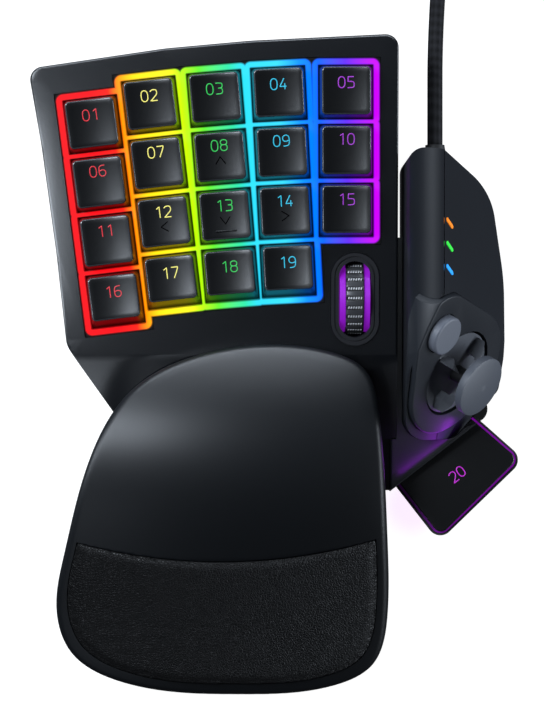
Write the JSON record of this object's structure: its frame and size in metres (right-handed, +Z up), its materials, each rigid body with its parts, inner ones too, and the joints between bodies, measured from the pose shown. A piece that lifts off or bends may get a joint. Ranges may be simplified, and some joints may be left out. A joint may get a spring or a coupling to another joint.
{
  "type": "gaming keypad",
  "caption": "Left-hand gaming keypad with lit mechanical-feel keys, scroll wheel, thumb pod with tilting pad and stick, sliding padded palm rest and braided cord.",
  "frame": {"origin": "on the table plane under the middle of the keypad, its cord left out", "axes": "+X to the user's right, +Y away from the user, +Z up"},
  "size_m": [0.1509, 0.3189, 0.0591],
  "materials": {
    "keycap": "satin",
    "light_guide": "frosted, lit by the lights under it",
    "inner_plastic": "moulded",
    "dome_rubber": "silicone",
    "board": "solder mask",
    "led": "clear",
    "tyre_rubber": "ribbed",
    "wheel_hub": "smoked",
    "housing": "satin",
    "bezel": "polished rim",
    "panel": "satin, blue-grey",
    "pad": "faceted",
    "stick": "soft touch",
    "metal": "plain",
    "foot_rubber": "plain",
    "cushion": "grained",
    "palm_plastic": "soft touch",
    "gland_rubber": "plain",
    "cord": "braided",
    "tie": "hook and loop",
    "plug": "overmould"
  },
  "bodies": {
    "housing": {"base_tray": "housing", "deck_shell": "housing", "light_guide": "light_guide", "switch_plate": "inner_plastic", "dome_sheet": "dome_rubber", "main_board": "board", "key_leds": "led", "wheel_bezel": "bezel", "pod_shell_left": "housing", "pod_shell_right": "housing", "profile_lights": "light_guide", "control_panel": "panel", "pad_bracket": "inner_plastic", "pad_board": "board", "bridge_cover": "housing", "thumb_key_pin": "metal", "rubber_feet": "foot_rubber", "housing_screws": "metal", "cable_gland": "gland_rubber", "cable_lead": "cord", "cable_coil": "cord", "cable_tie": "tie", "cable_tail": "cord", "usb_plug": "plug", "usb_shell": "metal"},
    "key_01": {"keycap_01": "keycap"},
    "key_02": {"keycap_02": "keycap"},
    "key_03": {"keycap_03": "keycap"},
    "key_04": {"keycap_04": "keycap"},
    "key_05": {"keycap_05": "keycap"},
    "key_06": {"keycap_06": "keycap"},
    "key_07": {"keycap_07": "keycap"},
    "key_08": {"keycap_08": "keycap"},
    "key_09": {"keycap_09": "keycap"},
    "key_10": {"keycap_10": "keycap"},
    "key_11": {"keycap_11": "keycap"},
    "key_12": {"keycap_12": "keycap"},
    "key_13": {"keycap_13": "keycap"},
    "key_14": {"keycap_14": "keycap"},
    "key_15": {"keycap_15": "keycap"},
    "key_16": {"keycap_16": "keycap"},
    "key_17": {"keycap_17": "keycap"},
    "key_18": {"keycap_18": "keycap"},
    "key_19": {"keycap_19": "keycap"},
    "key_20": {"keycap_20": "keycap", "thumb_key_light": "light_guide", "thumb_key_lever": "inner_plastic"},
    "wheel_carrier": {"wheel_cradle": "inner_plastic"},
    "scroll_wheel": {"scroll_tyre": "tyre_rubber", "scroll_hub": "wheel_hub"},
    "push_button": {"mode_button": "stick"},
    "gimbal_ring": {"pad_gimbal": "inner_plastic"},
    "direction_pad": {"thumb_pad": "pad"},
    "stick": {"stick_cap": "stick"},
    "palm_rest": {"palm_shell": "palm_plastic", "palm_cushion": "cushion", "palm_base": "palm_plastic", "palm_tongue": "inner_plastic", "palm_feet": "foot_rubber"},
    "latch": {"palm_latch": "inner_plastic"}
  },
  "joints": [
    {"name": "key_01_press", "type": "slide", "parent": "housing", "child": "key_01", "axis": [0, 0.0872, -0.9962], "range_m": [0, 0.0035], "stiffness_N_per_m": 170, "springref_m": -0.002, "deforming": ["dome_sheet"]},
    {"name": "key_02_press", "type": "slide", "parent": "housing", "child": "key_02", "axis": [0, 0.0872, -0.9962], "range_m": [0, 0.0035], "stiffness_N_per_m": 170, "springref_m": -0.002, "deforming": ["dome_sheet"]},
    {"name": "key_03_press", "type": "slide", "parent": "housing", "child": "key_03", "axis": [0, 0.0872, -0.9962], "range_m": [0, 0.0035], "stiffness_N_per_m": 170, "springref_m": -0.002, "deforming": ["dome_sheet"]},
    {"name": "key_04_press", "type": "slide", "parent": "housing", "child": "key_04", "axis": [0, 0.0872, -0.9962], "range_m": [0, 0.0035], "stiffness_N_per_m": 170, "springref_m": -0.002, "deforming": ["dome_sheet"]},
    {"name": "key_05_press", "type": "slide", "parent": "housing", "child": "key_05", "axis": [0, 0.0872, -0.9962], "range_m": [0, 0.0035], "stiffness_N_per_m": 170, "springref_m": -0.002, "deforming": ["dome_sheet"]},
    {"name": "key_06_press", "type": "slide", "parent": "housing", "child": "key_06", "axis": [0, 0.0872, -0.9962], "range_m": [0, 0.0035], "stiffness_N_per_m": 170, "springref_m": -0.002, "deforming": ["dome_sheet"]},
    {"name": "key_07_press", "type": "slide", "parent": "housing", "child": "key_07", "axis": [0, 0.0872, -0.9962], "range_m": [0, 0.0035], "stiffness_N_per_m": 170, "springref_m": -0.002, "deforming": ["dome_sheet"]},
    {"name": "key_08_press", "type": "slide", "parent": "housing", "child": "key_08", "axis": [0, 0.0872, -0.9962], "range_m": [0, 0.0035], "stiffness_N_per_m": 170, "springref_m": -0.002, "deforming": ["dome_sheet"]},
    {"name": "key_09_press", "type": "slide", "parent": "housing", "child": "key_09", "axis": [0, 0.0872, -0.9962], "range_m": [0, 0.0035], "stiffness_N_per_m": 170, "springref_m": -0.002, "deforming": ["dome_sheet"]},
    {"name": "key_10_press", "type": "slide", "parent": "housing", "child": "key_10", "axis": [0, 0.0872, -0.9962], "range_m": [0, 0.0035], "stiffness_N_per_m": 170, "springref_m": -0.002, "deforming": ["dome_sheet"]},
    {"name": "key_11_press", "type": "slide", "parent": "housing", "child": "key_11", "axis": [0, 0.0872, -0.9962], "range_m": [0, 0.0035], "stiffness_N_per_m": 170, "springref_m": -0.002, "deforming": ["dome_sheet"]},
    {"name": "key_12_press", "type": "slide", "parent": "housing", "child": "key_12", "axis": [0, 0.0872, -0.9962], "range_m": [0, 0.0035], "stiffness_N_per_m": 170, "springref_m": -0.002, "deforming": ["dome_sheet"]},
    {"name": "key_13_press", "type": "slide", "parent": "housing", "child": "key_13", "axis": [0, 0.0872, -0.9962], "range_m": [0, 0.0035], "stiffness_N_per_m": 170, "springref_m": -0.002, "deforming": ["dome_sheet"]},
    {"name": "key_14_press", "type": "slide", "parent": "housing", "child": "key_14", "axis": [0, 0.0872, -0.9962], "range_m": [0, 0.0035], "stiffness_N_per_m": 170, "springref_m": -0.002, "deforming": ["dome_sheet"]},
    {"name": "key_15_press", "type": "slide", "parent": "housing", "child": "key_15", "axis": [0, 0.0872, -0.9962], "range_m": [0, 0.0035], "stiffness_N_per_m": 170, "springref_m": -0.002, "deforming": ["dome_sheet"]},
    {"name": "key_16_press", "type": "slide", "parent": "housing", "child": "key_16", "axis": [0, 0.0872, -0.9962], "range_m": [0, 0.0035], "stiffness_N_per_m": 170, "springref_m": -0.002, "deforming": ["dome_sheet"]},
    {"name": "key_17_press", "type": "slide", "parent": "housing", "child": "key_17", "axis": [0, 0.0872, -0.9962], "range_m": [0, 0.0035], "stiffness_N_per_m": 170, "springref_m": -0.002, "deforming": ["dome_sheet"]},
    {"name": "key_18_press", "type": "slide", "parent": "housing", "child": "key_18", "axis": [0, 0.0872, -0.9962], "range_m": [0, 0.0035], "stiffness_N_per_m": 170, "springref_m": -0.002, "deforming": ["dome_sheet"]},
    {"name": "key_19_press", "type": "slide", "parent": "housing", "child": "key_19", "axis": [0, 0.0872, -0.9962], "range_m": [0, 0.0035], "stiffness_N_per_m": 170, "springref_m": -0.002, "deforming": ["dome_sheet"]},
    {"name": "key_20_press", "type": "hinge", "parent": "housing", "child": "key_20", "pos_m": [0.04468, -0.02104, 0.0065], "axis": [0.7891, 0.6143, 0], "range_deg": [0, 5], "stiffness_Nm_per_rad": 0.4, "springref_deg": -2.98},
    {"name": "wheel_click", "type": "slide", "parent": "housing", "child": "wheel_carrier", "axis": [0, 0.0872, -0.9962], "range_m": [0, 0.0006], "stiffness_N_per_m": 1500, "springref_m": -0.0005},
    {"name": "wheel_scroll", "type": "hinge", "parent": "wheel_carrier", "child": "scroll_wheel", "pos_m": [0.02286, 0.02192, 0.02121], "axis": [1, 0, 0], "continuous": true},
    {"name": "button_press", "type": "slide", "parent": "housing", "child": "push_button", "axis": [-0.7189, 0.4319, -0.5446], "range_m": [0, 0.0006], "stiffness_N_per_m": 900, "springref_m": -0.001},
    {"name": "pad_rock", "type": "hinge", "parent": "housing", "child": "gimbal_ring", "pos_m": [0.04972, 0.00101, 0.03084], "axis": [0.515, 0.8572, 0], "range_deg": [-8, 8], "stiffness_Nm_per_rad": 0.08},
    {"name": "pad_roll", "type": "hinge", "parent": "gimbal_ring", "child": "direction_pad", "pos_m": [0.04972, 0.00101, 0.03084], "axis": [-0.4668, 0.2805, 0.8387], "range_deg": [-8, 8], "stiffness_Nm_per_rad": 0.08},
    {"name": "stick_pull", "type": "slide", "parent": "direction_pad", "child": "stick", "axis": [0.7189, -0.4319, 0.5446], "range_m": [0, 0.009]},
    {"name": "palm_rest_slide", "type": "slide", "parent": "housing", "child": "palm_rest", "axis": [0, -1, 0], "range_m": [0, 0.012]},
    {"name": "latch_slide", "type": "slide", "parent": "palm_rest", "child": "latch", "axis": [0, -1, 0], "range_m": [0, 0.0025], "stiffness_N_per_m": 800, "springref_m": -0.0005}
  ]
}
